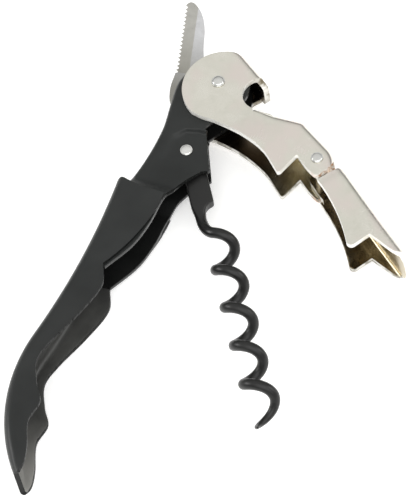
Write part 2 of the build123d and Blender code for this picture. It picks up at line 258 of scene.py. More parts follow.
def bend_section(radius, nominal):
    """(inset, height) steps round a bend, from the wall to the web."""
    angles = [math.pi / 2 * step / BEND_STEPS for step in range(BEND_STEPS + 1)]
    return [(radius * (1 - math.sin(a)), nominal - radius * (1 - math.cos(a))) for a in angles]


def end_shape(free_points, corner, away, out, radius):
    """(inset, way past the web's end) of the free edge inside the bend. Takes those points away."""
    found = [(0.0, 0.0)]
    while free_points:
        offset = Vector(free_points[0]) - Vector(corner)
        inset, past = -offset.dot(out), offset.dot(away)
        if inset < found[-1][0]:
            break
        if inset >= radius:
            share = (radius - found[-1][0]) / max(inset - found[-1][0], 1e-6)
            found.append((radius, found[-1][1] + (past - found[-1][1]) * share))
            break
        found.append((inset, past))
        free_points.pop(0)
    return found


def past_end(shape, inset):
    """How far past the web's end the free edge is at this inset."""
    for (a, low), (b, high) in zip(shape, shape[1:]):
        if inset <= b:
            return low + (high - low) * (inset - a) / max(b - a, 1e-6)
    return shape[-1][1]


def web_ends(free, before, after, points, bend, tight):
    """Shapes that the free edges before and after a web have inside its bend. Trims both edges there."""
    away = (Vector(points[0]) - Vector(points[1])).normalized()
    edge = free[before][-2::-1]
    start_shape = end_shape(edge, points[0], away, Vector((-away.y, away.x)), bend * tight[0])
    free[before] = edge[::-1] + [points[0]]
    away = (Vector(points[-1]) - Vector(points[-2])).normalized()
    edge = free[after][1:]
    finish_shape = end_shape(edge, points[-1], away, Vector((away.y, -away.x)), bend * tight[1])
    free[after] = [points[-1]] + edge
    return start_shape, finish_shape


def web_section(radius, nominal, slot):
    """(inset, height) steps across a web, from the near wall to the far wall."""
    upper = bend_section(radius, nominal)
    inner = slot[0] if slot else (nominal - radius) / 3
    return upper + [(0.0, inner), (0.0, -inner)] + [(inset, -height) for inset, height in upper[::-1]]


def web_columns(mesh, points, end_shapes, nominal, bend, tight, slot):
    """The faces of a web. Returns its columns of corners, each from the near wall to the far wall."""
    start_shape, finish_shape = end_shapes
    ways = lengths(points)
    columns = []
    for place, (x, y) in enumerate(points):
        gone, left = ways[place], ways[-1] - ways[place]
        at_start = ramp(gone, (0.0, tight[0]), (END_FADE, 1.0))
        at_finish = ramp(left, (0.0, tight[1]), (END_FADE, 1.0))
        radius = bend * min(at_start, at_finish)
        before = points[max(place - 1, 0)]
        after = points[min(place + 1, len(points) - 1)]
        along = Vector((after[0] - before[0], after[1] - before[1])).normalized()
        out = Vector((along.y, -along.x))
        column = []
        for inset, height in web_section(radius, nominal, slot):
            back = past_end(start_shape, inset) * max(0.0, 1 - gone / END_FADE)
            ahead = past_end(finish_shape, inset) * max(0.0, 1 - left / END_FADE)
            spot = Vector((x, y)) - out * inset + along * (ahead - back)
            column.append(mesh.verts.new((spot.x, spot.y, height)))
        columns.append(column)
    for one, two in zip(columns, columns[1:]):
        for k in range(len(one) - 1):
            mesh.faces.new((one[k], one[k + 1], two[k + 1], two[k]))
    return columns


def add_tongue(mesh, points, column, length, power):
    """A rounded tongue past a web's start, as wide as the web's flat. A high power makes it squarer."""
    away = (Vector(points[0]) - Vector(points[1])).normalized()
    last_row = column[BEND_STEPS:len(column) - BEND_STEPS]
    root = [v.co.copy() for v in last_row]
    for step in range(1, TONGUE_STEPS + 1):
        t = math.sin(math.pi / 2 * step / TONGUE_STEPS) * TONGUE_REACH
        width = (1 - t**power) ** (1 / power)
        shift = Vector((away.x, away.y, 0)) * (length * t)
        row = [mesh.verts.new(Vector((p.x, p.y, p.z * width)) + shift) for p in root]
        for k in range(len(row) - 1):
            mesh.faces.new((row[k], row[k + 1], last_row[k + 1], last_row[k]))
        last_row = row


def cut_slot(mesh, half_width, lowest):
    """Takes the middle of the web away above a certain Y."""
    gone = []
    for face in mesh.faces:
        centre = face.calc_center_median()
        if abs(centre.z) < half_width and centre.y > lowest:
            gone.append(face)
    bmesh.ops.delete(mesh, geom=gone, context="FACES")


def set_widths(mesh, half, nominal, bend, press):
    """Moves every corner from the nominal width to its own, keeps the bend round and presses the walls."""
    flat = nominal - bend
    for v in mesh.verts:
        x, y, z = v.co
        height = half(x, y)
        if abs(z) > flat:
            level = height - (nominal - abs(z))
        else:
            level = abs(z) * (height - bend) / flat
        if press:
            level -= press(x, y) * max(0.0, (abs(z) - flat) / bend) ** 2
        v.co.z = math.copysign(level, z)


def channel(name, runs, half, nominal, sheet, bend, materials, press=None, slot=None, edge=0.3, creases=()):
    """A folded sheet: two equal walls with this side outline, joined by webs round a bend.

    runs goes round the outline with the piece on its left, and free edges and webs take turns:
    {"free": points} or {"web": points, "tight": shares of the bend, "tongue": (length, power)}.
    tight makes the bend smaller at the web's start and end. A tongue continues the web past its start.
    half(x, y) is half the outside width, and nominal is its value while the sheet is being laid out.
    sheet is the thickness, bend the outside radius of the folds and edge the rounding of the cut edges.
    press(x, y) is how far the walls are pushed in there. slot = (half width, lowest y) leaves a gap in
    the web's middle. creases are (line, offsets), where the walls need closer rows to fold sharply.
    materials are for the outside, the inside and the cut edges.
    """
    mesh = bmesh.new()
    free = {number: filled(run["free"]) for number, run in enumerate(runs) if "free" in run}
    webs = {}
    for number, run in enumerate(runs):
        if "web" in run:
            points = filled(run["web"])
            tight = run.get("tight", (1.0, 1.0))
            before, after = (number - 1) % len(runs), (number + 1) % len(runs)
            end_shapes = web_ends(free, before, after, points, bend, tight)
            webs[number] = web_columns(mesh, points, end_shapes, nominal, bend, tight, slot)
            if "tongue" in run:
                add_tongue(mesh, points, webs[number][0], *run["tongue"])
    near, far = [], []
    for number in range(len(runs)):
        if number in webs:
            near += [column[0] for column in webs[number]]
            far += [column[-1] for column in webs[number]]
        else:
            for x, y in free[number][1:-1]:
                near.append(mesh.verts.new((x, y, nominal)))
                far.append(mesh.verts.new((x, y, -nominal)))
    mesh.faces.new(near)
    mesh.faces.new(far[::-1])
    grid_cut(mesh, WALL_PITCH)
    for line, offsets in creases:
        cut_along(mesh, line, offsets)
    if slot:
        cut_slot(mesh, *slot)
    set_widths(mesh, half, nominal, bend, press)
    bmesh.ops.recalc_face_normals(mesh, faces=mesh.faces[:])
    wall = max(mesh.faces, key=lambda face: face.calc_center_median().z)
    if wall.normal.z < 0:
        bmesh.ops.reverse_faces(mesh, faces=mesh.faces[:])
    obj = to_object(mesh, name, materials)
    modifier(
        obj, "SOLIDIFY", thickness=sheet * MM, offset=-1.0, use_quality_normals=True,
        use_rim=True, material_offset=1, material_offset_rim=2,
    )
    rounded_edges(obj, edge, material=2, segments=3)
    settle(obj)
    return obj


def turned(name, at, profile, material, steps=64):
    """A turned piece on a pivot, from the (radius, height) points of its half profile."""
    mesh = bmesh.new()
    rings = []
    for radius, height in profile:
        if radius == 0:
            rings.append([mesh.verts.new((at[0], at[1], height))])
            continue
        ring = []
        for i in range(steps):
            angle = math.tau * i / steps
            x, y = at[0] + radius * math.cos(angle), at[1] + radius * math.sin(angle)
            ring.append(mesh.verts.new((x, y, height)))
        rings.append(ring)
    for low, high in zip(rings, rings[1:]):
        for i in range(steps):
            j = (i + 1) % steps
            corners = []
            for v in (low[i % len(low)], low[j % len(low)], high[j % len(high)], high[i % len(high)]):
                if v not in corners:
                    corners.append(v)
            mesh.faces.new(corners)
    bmesh.ops.recalc_face_normals(mesh, faces=mesh.faces[:])
    obj = to_object(mesh, name, [material])
    settle(obj)
    return obj


# ---- materials --------------------------------------------------------------
class Shader:
    """A node material, built step by step from object coordinates, which are in metres."""

    def __init__(self, name, **uniform):
        self.material = bpy.data.materials.new(name)
        self.material.use_nodes = True
        self.tree = self.material.node_tree
        self.surface = self.tree.nodes["Principled BSDF"]
        for key, value in uniform.items():
            self.surface.inputs[key.replace("_", " ")].default_value = value
        self.place = self.add("ShaderNodeTexCoord").outputs["Object"]

    def add(self, kind, **settings):
        node = self.tree.nodes.new(kind)
        for key, value in settings.items():
            setattr(node, key, value)
        return node

    def link(self, source, target):
        self.tree.links.new(source, target)

    def mapped(self, scale, turn=0.0):
        """Coordinates stretched by scale and turned about Z."""
        node = self.add("ShaderNodeMapping")
        node.inputs["Scale"].default_value = scale
        node.inputs["Rotation"].default_value = (0, 0, math.radians(turn))
        self.link(self.place, node.inputs["Vector"])
        return node.outputs["Vector"]

    def noise(self, scale, detail=4.0, rough=0.55, vector=None, distort=0.0):
        """Cloudy noise, with this many clouds in a metre."""
        node = self.add("ShaderNodeTexNoise")
        node.inputs["Scale"].default_value = scale
        node.inputs["Detail"].default_value = detail
        node.inputs["Roughness"].default_value = rough
        node.inputs["Distortion"].default_value = distort
        self.link(vector or self.place, node.inputs["Vector"])
        return node.outputs["Fac"]

    def span(self, value, low, high, start=0.3, end=0.7):
        """Maps the value's start..end onto low..high."""
        node = self.add("ShaderNodeMapRange")
        for key, number in (("From Min", start), ("From Max", end), ("To Min", low), ("To Max", high)):
            node.inputs[key].default_value = number
        self.link(value, node.inputs["Value"])
        return node.outputs["Result"]

    def along(self, axis, start, end):
        """0 at the start and 1 at the end. Both are side-view places on X or Y, or heights on Z."""
        split = self.add("ShaderNodeSeparateXYZ")
        self.link(self.place, split.inputs[0])
        origin = {"X": head.x, "Y": head.y, "Z": 0.0}[axis]
        low, high = (origin + level * MM for level in (start, end))
        return self.span(split.outputs[axis], 0.0, 1.0, low, high)

    def times(self, one, two):
        """one * two."""
        node = self.add("ShaderNodeMath", operation="MULTIPLY")
        self.link(one, node.inputs[0])
        self.link(two, node.inputs[1])
        return node.outputs[0]

    def blend(self, amount, one, two):
        """Mixes two colours by a value."""
        node = self.add("ShaderNodeMix", data_type="RGBA")
        self.link(amount, node.inputs["Factor"])
        # the node has sockets for every kind of value, and these are the ones for colours
        colour_a, colour_b, mixed = node.inputs[6], node.inputs[7], node.outputs[2]
        for socket, colour in ((colour_a, one), (colour_b, two)):
            if isinstance(colour, tuple):
                socket.default_value = (*colour, 1)
            else:
                self.link(colour, socket)
        return mixed

    def plus(self, one, two, weight=1.0):
        """one + two * weight."""
        node = self.add("ShaderNodeMath", operation="MULTIPLY_ADD")
        self.link(two, node.inputs[0])
        node.inputs[1].default_value = weight
        self.link(one, node.inputs[2])
        return node.outputs[0]

    def bump(self, height, distance, strength=1.0, onto=None):
        """Fine relief, this many millimetres high, on top of another."""
        node = self.add("ShaderNodeBump")
        node.inputs["Distance"].default_value = distance * MM
        node.inputs["Strength"].default_value = strength
        self.link(height, node.inputs["Height"])
        if onto:
            self.link(onto, node.inputs["Normal"])
        return node.outputs["Normal"]

    def set(self, **sockets):
        """Joins these to the surface's sockets and returns the material."""
        for key, source in sockets.items():
            self.link(source, self.surface.inputs[key.replace("_", " ")])
        return self.material


def paint(name, dark, light, rough, grain=0.004, gloss=0.28, pale=None):
    """Satin black paint over pressed steel: faint orange peel and soft rub marks.

    pale = (colour, axis, start, end) fades to a paler colour along the side view, as a painted reflection.
    """
    look = Shader(name, Specular_IOR_Level=gloss, Coat_Weight=0.08, Coat_Roughness=0.3)
    peel = look.noise(1600, detail=2)
    cloud = look.noise(90, detail=3)
    rub = look.noise(1.0, detail=5, rough=0.7, vector=look.mapped((160, 900, 160), 12))
    colour = look.blend(look.span(cloud, 0.0, 1.0), dark, light)
    if pale:
        colour = look.blend(look.along(*pale[1:]), colour, pale[0])
    roughness = look.plus(look.span(cloud, rough - 0.04, rough + 0.05), look.span(rub, -0.05, 0.05))
    fine = look.bump(peel, grain, 0.6)
    normal = look.bump(look.noise(220, detail=1), grain * 4, 0.5, onto=fine)
    return look.set(Base_Color=colour, Roughness=roughness, Normal=normal)


def metal(name, dark, light, rough, spread=0.06, streak=0.0, mottle=260, dent=0.01, painted_shade=None, tint=None,
          pitted=None, spots=None, shade_patches=(), metallic=1.0):
    """Plated or polished metal: cloudy colour, uneven polish and fine handling marks.

    rough is the mean roughness, spread how much the clouds change it, and streak how much the marks do.
    dull = (colour, axis, start, end) fades to a darker colour from start to end, as painted shade.
    tint = a colour that comes and goes in broad patches. pitted = (axis, start, end) roughens one end.
    worn = (colour, axis, start, end) lets small patches of that colour through at one end.
    grime = a list of the same, in larger cloudy patches, as painted shade.
    metallic is lower for near-white edges whose colour stands in for a bright reflection: a painted
    highlight.
    """
    look = Shader(name, Metallic=metallic)
    cloud = look.noise(mottle, detail=5, rough=0.62, distort=0.4)
    broad = look.noise(70, detail=2)
    marks = look.noise(1.0, detail=6, rough=0.75, vector=look.mapped((2600, 240, 240), 24))
    colour = look.blend(look.span(look.plus(cloud, broad, 0.35), 0.0, 1.0, 0.42, 0.92), dark, light)
    if tint:
        areas = look.span(look.noise(120, detail=2, rough=0.6), 0.0, 0.8, 0.45, 0.62)
        colour = look.blend(areas, colour, tint)
    # painted shade, darker towards one end
    if painted_shade:
        colour = look.blend(look.along(*painted_shade[1:]), colour, painted_shade[0])
    # painted shade in larger cloudy patches
    for shade_colour, *where in shade_patches:
        shade_mask = look.span(look.noise(420, detail=3), 0.35, 1.0, 0.44, 0.56)
        colour = look.blend(look.times(shade_mask, look.along(*where)), colour, shade_colour)
    if spots:
        patches = look.span(look.noise(700, detail=2), 0.0, 1.0, 0.42, 0.58)
        colour = look.blend(look.times(patches, look.along(*spots[1:])), colour, spots[0])
    uneven = look.span(cloud, rough - spread, rough + spread)
    roughness = look.plus(uneven, look.span(marks, -streak, streak))
    fine = look.bump(marks, 0.002, 0.4)
    normal = look.bump(broad, dent * 6, 0.5, onto=fine)
    if pitted:
        grit = look.span(look.noise(2600, detail=3, rough=0.8), 0.0, 1.0, 0.55, 0.66)
        normal = look.bump(look.times(grit, look.along(*pitted)), 0.02, 0.7, onto=normal)
    return look.set(Base_Color=colour, Roughness=roughness, Normal=normal)


shell_paint = paint("shell_paint", (0.011, 0.0122, 0.012), (0.018, 0.0195, 0.019), rough=0.42)
# painted reflection: the shell's inside is a lighter copy of its outside paint and grows paler towards the
# tail, in place of the bright surroundings that it reflects
shell_inside = paint(
    "shell_inside_lit_paint", (0.042, 0.0425, 0.041), (0.078, 0.0785, 0.074), rough=0.4, gloss=0.3,
    pale=((0.26, 0.256, 0.242), "Y", -87.0, -100.0),
)
frame_paint = paint("frame_paint", (0.0105, 0.0118, 0.0114), (0.017, 0.0186, 0.018), rough=0.46)
# painted shade: the frame's inside is a darker copy of its outside paint, for the shade between its walls
frame_inside = paint(
    "frame_inside_shaded_paint", (0.004, 0.0042, 0.004), (0.008, 0.0083, 0.008), rough=0.5, gloss=0.12,
)
# painted shade: the frame's cut edges are a little darker than its paint, for the dark that the rolled edges
# reflect
cut_paint = paint("painted_edge_shaded", (0.007, 0.0074, 0.0072), (0.015, 0.0157, 0.015), rough=0.24, gloss=0.3)
# painted shade: the shell's cut edges are a darker, less glossy copy of its paint, so that they read as dark
# lines
shell_cut_paint = paint(
    "shell_cut_edge_shaded", (0.004, 0.0042, 0.004), (0.009, 0.0094, 0.009), rough=0.42, gloss=0.06,
)
nickel = metal(
    "nickel", (0.68, 0.665, 0.59), (0.78, 0.76, 0.69), rough=0.24, spread=0.05, streak=0.03,
    tint=(0.76, 0.69, 0.645), pitted=("X", 36.0, 44.0),
)
# painted shade: the lever's inside darkens towards the head, next to the frame
nickel_inside_shaded = metal(
    "nickel_inside_shaded", (0.58, 0.54, 0.43), (0.86, 0.81, 0.67), rough=0.2, spread=0.07, streak=0.04, mottle=180,
    painted_shade=((0.16, 0.13, 0.095), "X", 20.5, 14.0),
)
# painted shade: the boot's inside darkens towards its shoulder, beside the lever's end. Its colour is also
# darker than the lever's inside.
boot_inside_shaded = metal(
    "boot_inside_shaded", (0.38, 0.33, 0.225), (0.64, 0.565, 0.42), rough=0.2, spread=0.07, streak=0.04, mottle=180,
    painted_shade=((0.27, 0.228, 0.155), "X", 42.5, 37.0),
)
# painted highlight: the cut edges are near-white and mostly diffuse, so that they stay bright like a
# reflection. Painted shade darkens them towards the far side.
nickel_edge = metal(
    "nickel_cut_edge_lit_and_shaded", (0.94, 0.92, 0.86), (0.98, 0.97, 0.93), rough=0.2, spread=0.05, streak=0.02,
    shade_patches=[((0.24, 0.225, 0.18), "Z", 6.5, 2.5)], metallic=0.25,
)
# painted highlight: near-white, mostly diffuse cut edges that stay bright like a reflection. Painted shade
# darkens them towards the far side and above the pivot. Small reddish-brown patches show towards the arm's
# end.
lever_edge_metal = metal(
    "lever_cut_edge_lit_and_shaded", (0.94, 0.92, 0.86), (0.98, 0.97, 0.93), rough=0.2, spread=0.05, streak=0.02,
    spots=((0.56, 0.33, 0.20), "X", 26.5, 29.0),
    shade_patches=[((0.24, 0.225, 0.18), "Z", 6.5, 2.5), ((0.26, 0.225, 0.16), "Y", 0.5, 3.0)], metallic=0.25,
)
rivet_metal = metal(
    "rivet_metal", (0.60, 0.60, 0.58), (0.80, 0.80, 0.78), rough=0.2, spread=0.05, streak=0.04,
)
# painted shade: both blade finishes darken towards the heel, beside the frame
blade_flat_shaded = metal(
    "blade_flat_shaded", (0.62, 0.62, 0.63), (0.76, 0.76, 0.78), rough=0.22, spread=0.04, streak=0.05, mottle=420,
    painted_shade=((0.30, 0.295, 0.27), "Y", 14.0, -1.0),
)
blade_ground_shaded = metal(
    "blade_ground_shaded", (0.48, 0.47, 0.44), (0.60, 0.59, 0.55), rough=0.34, spread=0.05, streak=0.06, mottle=420,
    painted_shade=((0.36, 0.35, 0.31), "Y", 14.0, 2.0),
)
worm_black = paint(
    "worm_coating", (0.007, 0.007, 0.007), (0.013, 0.013, 0.0125), rough=0.36, grain=0.003, gloss=0.32,
)


def attach(obj, body, slot, *nodes):
    """The piece moves with a body and stands for these CAD nodes. slot is not used."""
    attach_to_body(obj, body)
    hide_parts(*nodes)


# ---- handle shell -----------------------------------------------------------
lip_back, lip_front = (-13.35, -31.0), (-1.7, -31.6)
back_bend = (-17.75, -73.06)
tail_back, tail_front = (-9.7, -105.2), (-9.0, -104.9)
edge_cusp = (-8.7, -52.2)
shell_half = (cad_box[1][2] - cad_box[0][2]) / 2 / MM

finger_edge = joined(
    flow(
        tail_front, (-8.3, -102.8), (-8.9, -99.0), (-10.9, -92.8), (-10.1, -87.8), (-12.3, -84.0),
        (-14.3, -78.8), (-13.2, -74.0), (-9.3, -64.8), (-7.1, -57.3), edge_cusp,
    ),
    arc(edge_cusp, (-3.4, -41.2), lip_front),
)
shell_back = joined(bow(lip_back, back_bend, -168.7), bow(back_bend, tail_back, 37.4))
shell_lip = flow(lip_front, (-6.2, -31.6), (-10.4, -30.8), (-12.5, -30.3), lip_back)


def shell_press(x, y):
    """The walls lean in a little towards their finger edge."""
    return 0.32 * ramp(distance_to(finger_edge, x, y), (0.0, 1.0), (2.6, 0.0))


shell = channel(
    "shell_visual",
    [{"web": shell_back}, {"free": joined([tail_back], finger_edge, shell_lip)}],
    half=lambda x, y: shell_half, nominal=shell_half, sheet=1.1, bend=2.2,
    materials=[shell_paint, shell_inside, shell_cut_paint], press=shell_press,
)
attach(shell, "handle", "handle_paint", "handle_shell")


# ---- inner frame ------------------------------------------------------------
frame_narrow, frame_wide = 3.6, 5.3      # half widths
frame_sheet = 1.0
pad_depth = 0.9
frame_back = joined(
    flow((-7.6, 4.0), (-9.5, -1.0), (-9.3, -7.0), (-8.8, -14.0), (-9.8, -23.0), (-11.85, -31.5)),
    [(-12.75, -52.4)],
)
frame_edge = joined(
    [(-12.75, -52.4), (-8.3, -52.6)],
    flow(
        (-8.3, -52.6), (-4.3, -45.6), (-2.6, -39.4), (-1.9, -33.2), (-1.2, -30.0), (0.8, -26.0),
        (3.3, -22.4),
    ),
    arc((4.3, -21.95), (4.95, -21.75), (4.9, -21.1)),
    [(0.6, -11.2), (5.0, -5.0)],
    arc((5.0, -5.0), (6.15, 3.58), (-3.6, 6.15)),
    [(-7.0, 4.7), (-7.6, 4.0)],
)
pad = [(8.0, -12.9), (-0.5, -12.5), (-3.4, -13.2), (-5.4, -15.6), (-6.2, -21.0), (-6.6, -28.0), (8.0, -27.6)]


def frame_half(x, y):
    """Half width: narrow at the head, wider in the handle."""
    return ramp(-y, (27.9, frame_narrow), (31.9, frame_wide))


def frame_press(x, y):
    """Pad that brings the walls together at the worm rivet. Its top edge is crisp, its sides are soft."""
    gap = distance_to(pad + pad[:1], x, y)
    soft = ramp(-y, (13.0, 0.45), (17.0, 1.4))
    depth = ramp(gap if inside(pad, x, y) else -gap, (-soft, 0.0), (soft, pad_depth))
    return depth * ramp(-y, (20.5, 1.0), (28.5, 0.0))


inner = channel(
    "frame_visual", [{"web": frame_back}, {"free": frame_edge}],
    half=frame_half, nominal=frame_narrow, sheet=frame_sheet, bend=1.3, slot=(0.9, -29.6),
    materials=[frame_paint, frame_inside, cut_paint], press=frame_press, edge=0.2,
    creases=[(pad[:4], (-0.45, -0.2, 0.0, 0.2, 0.45))],
)
attach(inner, "handle", "frame_paint", "inner_frame")


# ---- lever, first stage -----------------------------------------------------
lever_narrow, lever_wide = 5.2, 6.0      # half widths
head_top, hook_corner, notch_low, notch_web = (3.4, 8.55), (9.2, 4.2), (10.2, -4.84), (13.6, -4.96)
slope_top, slope_end, lever_tip = (23.0, -5.95), (29.5, -10.35), (31.7, -12.9)
lever_edge = joined(
    arc(head_top, (-7.9, -1.0), (-3.3, -9.1)),
    flow((-3.3, -9.1), (-0.6, -9.75), (2.5, -10.0), (9.0, -11.6), (15.6, -14.9), (20.2, -19.2)),
    arc((20.2, -19.2), (20.75, -19.6), (21.3, -19.15)),
    arc((23.35, -14.5), (23.5, -14.35), (23.8, -14.5)),
    flow((23.8, -14.5), (26.5, -16.85), (28.55, -18.1)),
    arc((28.55, -18.1), (29.5, -18.0), (30.05, -17.5)),
    arc((30.05, -17.5), (31.25, -15.6), lever_tip),
)
lever_web = joined(
    arc(lever_tip, (30.75, -11.45), slope_end),
    [slope_end],
    arc(slope_top, (22.4, -5.5), (21.6, -5.25)),
    [notch_web],
)
cap_notch = joined([notch_web], arc(notch_low, (6.2, -0.6), (8.0, 3.0)), [hook_corner])
lever_angle = math.atan2(boot_pivot[1], boot_pivot[0])      # the way the arm points


def lever_half(x, y):
    """Half width: narrow round head, wider arm."""
    along = x * math.cos(lever_angle) + y * math.sin(lever_angle)
    return ramp(along, (6.0, lever_narrow), (22.0, lever_wide))


def ripple(x, y):
    """Shallow waves that pressing leaves in the walls."""
    return 0.03 + 0.035 * noise.noise(Vector((x * 0.16, y * 0.16, 4.0)))


lever = channel(
    "lever_visual",
    [
        {"web": [hook_corner, head_top], "tongue": (2.2, 5.0)}, {"free": lever_edge},
        {"web": lever_web, "tight": (1.0, 0.45)}, {"free": cap_notch},
    ],
    half=lever_half, nominal=lever_narrow, sheet=1.4, bend=1.9,
    materials=[nickel, nickel_inside_shaded, lever_edge_metal], press=ripple,
)
attach(lever, "lever", "nickel_plate", "lever")


# ---- boot, second stage -----------------------------------------------------
boot_angle = math.radians(-41.3)      # the way the boot points
ear_half, boot_wide = 4.5, lever_wide      # half widths
shoulder_low, shoulder_high = (29.75, -19.0), (33.55, -14.6)
boot_crest, boot_toe = (34.7, -14.75), (53.6, -31.2)
boot_web = arc(boot_toe, (43.3, -22.4), boot_crest)
ear_radius = 2.15
ear = [math.radians(angle) for angle in range(45, 230, 10)]
boot_edge = joined(
    [boot_crest, shoulder_high, (32.5, -15.7)],
    [(boot_pivot[0] + ear_radius * math.cos(t), boot_pivot[1] + ear_radius * math.sin(t)) for t in ear],
    [(30.1, -18.6), shoulder_low],
    arc(shoulder_low, (36.2, -25.5), (40.7, -32.3)),
    arc((40.7, -32.3), (41.6, -33.15), (42.7, -32.7)),
    arc((44.95, -29.6), (45.15, -29.4), (45.45, -29.5)),
    [(50.7, -31.8)],
    arc((50.7, -31.8), (52.4, -32.0), boot_toe),
)


def boot_half(x, y):
    """Half width: the ears sit inside the lever, the body is as wide as the lever."""
    along = (x - boot_pivot[0]) * math.cos(boot_angle) + (y - boot_pivot[1]) * math.sin(boot_angle)
    return ramp(along, (4.05, ear_half), (4.6, boot_wide - 0.25), (7.2, boot_wide))


boot = channel(
    "boot_visual", [{"web": boot_web, "tongue": (2.2, 2.0)}, {"free": boot_edge}],
    half=boot_half, nominal=boot_wide, sheet=1.3, bend=1.9,
    materials=[nickel, boot_inside_shaded, nickel_edge], press=ripple,
    creases=[([shoulder_low, shoulder_high], (-0.45, -0.2, 0.0, 0.15))],
)
attach(boot, "boot", "nickel_plate", "boot")


# ---- worm -------------------------------------------------------------------
worm_angle = math.radians(-59.2)      # the way the worm points
worm_dir = Vector((math.cos(worm_angle), math.sin(worm_angle), 0))
worm_side = Vector((-math.sin(worm_angle), math.cos(worm_angle), 0))
up = Vector((0, 0, 1))
wire_r = 1.22
coil_r = 2.63             # of the wire's centre line
coil_pitch = 9.75
coil_start = 20.8         # along the worm, at turn 0
coil_offset = 2.75        # from the pivot's line to the coil's axis
coil_first = 0.17         # the turn where the neck runs into the coil
coil_turns = 5.06         # the turn where the point is
taper_turns = 0.62        # how long the taper is
last_along, last_aside = 1.1, 0.5         # how far the last turn opens out
shank_low, shank_high, shank_half = -1.94, 3.3, 1.4         # its two sides and half its thickness
neck_start = (16.8, -0.38)                # where the shank has become round wire
NECK_PULL = 0.9                           # how straight the neck leaves both of its ends
FLAT_POWER, ROUND_POWER = 8.0, 2.0        # squareness of the stamped shank and of the wire
EYE_STEPS, NECK_STEPS, TURN_STEPS = 12, 14, 40


def coil_point(turn):
    """Centre line of the coil, measured from the worm pivot. Its last turn opens a little."""
    angle = math.tau * (turn + 0.5)
    along = coil_start + coil_pitch * turn + last_along * ramp(turn, (4.4, 0.0), (coil_turns, 1.0))
    aside = coil_offset + last_aside * ramp(turn, (4.0, 0.0), (4.5, 1.0))
    axis_point = worm_dir * along + worm_side * aside
    return axis_point + (worm_side * math.cos(angle) - up * math.sin(angle)) * coil_r


def shank_sections():
    """(centre, direction, side, half width, half height, squareness) from the round eye to the wire."""
    found = []
    middle = (shank_low + shank_high) / 2
    eye_r = (shank_high - shank_low) / 2
    for step in range(1, EYE_STEPS + 1):
        angle = math.pi / 2 * step / EYE_STEPS
        wide = max(eye_r * math.sin(angle), 0.2)
        found.append((-eye_r * math.cos(angle), middle - wide, middle + wide, shank_half, FLAT_POWER))
    for step in range(1, 14):
        found.append((float(step), shank_low, shank_high, shank_half, FLAT_POWER))
    # behind the barb the sheet narrows and turns into round wire
    found += [
        (13.35, shank_low + 0.02, shank_high - 0.02, shank_half, FLAT_POWER),
        (13.7, shank_low + 0.04, shank_high - 0.22, shank_half, FLAT_POWER),
        (13.95, shank_low + 0.07, 2.35, shank_half, 7.0),
        (14.25, shank_low + 0.1, 1.85, 1.38, 6.0),
        (14.7, shank_low + 0.15, 1.38, 1.36, 5.0),
        (15.3, shank_low + 0.24, 1.08, 1.32, 4.0),
        (16.0, shank_low + 0.33, 0.92, 1.27, 2.8),
    ]
    return [
        (worm_dir * x + worm_side * (low + high) / 2, worm_dir, worm_side, (high - low) / 2, tall, power)
        for x, low, high, tall, power in found
    ]


def wire_line():
    """(centre, radius) along the wire, from the shank through the neck and the coil to the point."""
    start = worm_dir * neck_start[0] + worm_side * neck_start[1]
    finish = coil_point(coil_first)
    reach = (finish - start).length
    slope = (coil_point(coil_first + 0.01) - finish).normalized() * reach * NECK_PULL
    leave = worm_dir * reach * NECK_PULL
    line = []
    for step in range(NECK_STEPS):
        t = step / NECK_STEPS
        place = start * (2 * t**3 - 3 * t**2 + 1) + finish * (3 * t**2 - 2 * t**3)
        line.append((place + leave * (t**3 - 2 * t**2 + t) + slope * (t**3 - t**2), wire_r))
    count = round((coil_turns - coil_first) * TURN_STEPS)
    for step in range(count + 1):
        turn = coil_first + (coil_turns - coil_first) * step / count
        left = (coil_turns - turn) / taper_turns
        line.append((coil_point(turn), wire_r * min(1.0, 0.2 + 0.8 * max(left, 0.0) ** 0.7)))
    return line


def worm_sections():
    """Sections along the whole worm. Down the wire, each takes its side from the one before."""
    sections = shank_sections()
    line = wire_line()
    for number, (place, radius) in enumerate(line):
        before = line[max(number - 1, 0)][0]
        after = line[min(number + 1, len(line) - 1)][0]
        direction = (after - before).normalized()
        side = sections[-1][2] - direction * sections[-1][2].dot(direction)
        sections.append((place, direction, side.normalized(), radius, radius, ROUND_POWER))
    return sections


def make_worm():
    """One skin over all the sections, closed at both ends."""
    mesh = bmesh.new()
    origin = Vector((worm_pivot[0], worm_pivot[1], 0))
    rings = []
    for centre, direction, side, wide, tall, power in worm_sections():
        over = direction.cross(side)
        ring = []
        for i in range(WIRE_SIDES):
            angle = math.tau * (i + 0.5) / WIRE_SIDES
            c, s = math.cos(angle), math.sin(angle)
            across = math.copysign(abs(c) ** (2 / power), c) * wide
            high = math.copysign(abs(s) ** (2 / power), s) * tall
            ring.append(mesh.verts.new(origin + centre + side * across + over * high))
        rings.append(ring)
    for low, high in zip(rings, rings[1:]):
        for i in range(WIRE_SIDES):
            j = (i + 1) % WIRE_SIDES
            mesh.faces.new((low[i], low[j], high[j], high[i]))
    mesh.faces.new(rings[0][::-1])
    mesh.faces.new(rings[-1])
    bmesh.ops.recalc_face_normals(mesh, faces=mesh.faces[:])
    obj = to_object(mesh, "worm_visual", [worm_black])
    settle(obj, 50)
    return obj


attach(make_worm(), "worm", "worm_coating", "worm")


# ---- foil knife -------------------------------------------------------------
heel, tip = Vector((-11.8, 2.6, 0)), Vector((-15.9, 21.4, 0))
blade_run = tip - heel
blade_across = Vector((blade_run.y, -blade_run.x, 0)).normalized()
blade_half = 0.5          # half its thickness
bevel_width = 3.1
edge_share = 0.16         # thickness left at the edge, as a share
teeth_count, tooth_depth = 17, 0.6
tooth_shape = ((0.0, 0.0), (0.18, 0.72), (0.4, 1.0), (0.66, 0.82), (0.88, 0.3))       # (along, depth)


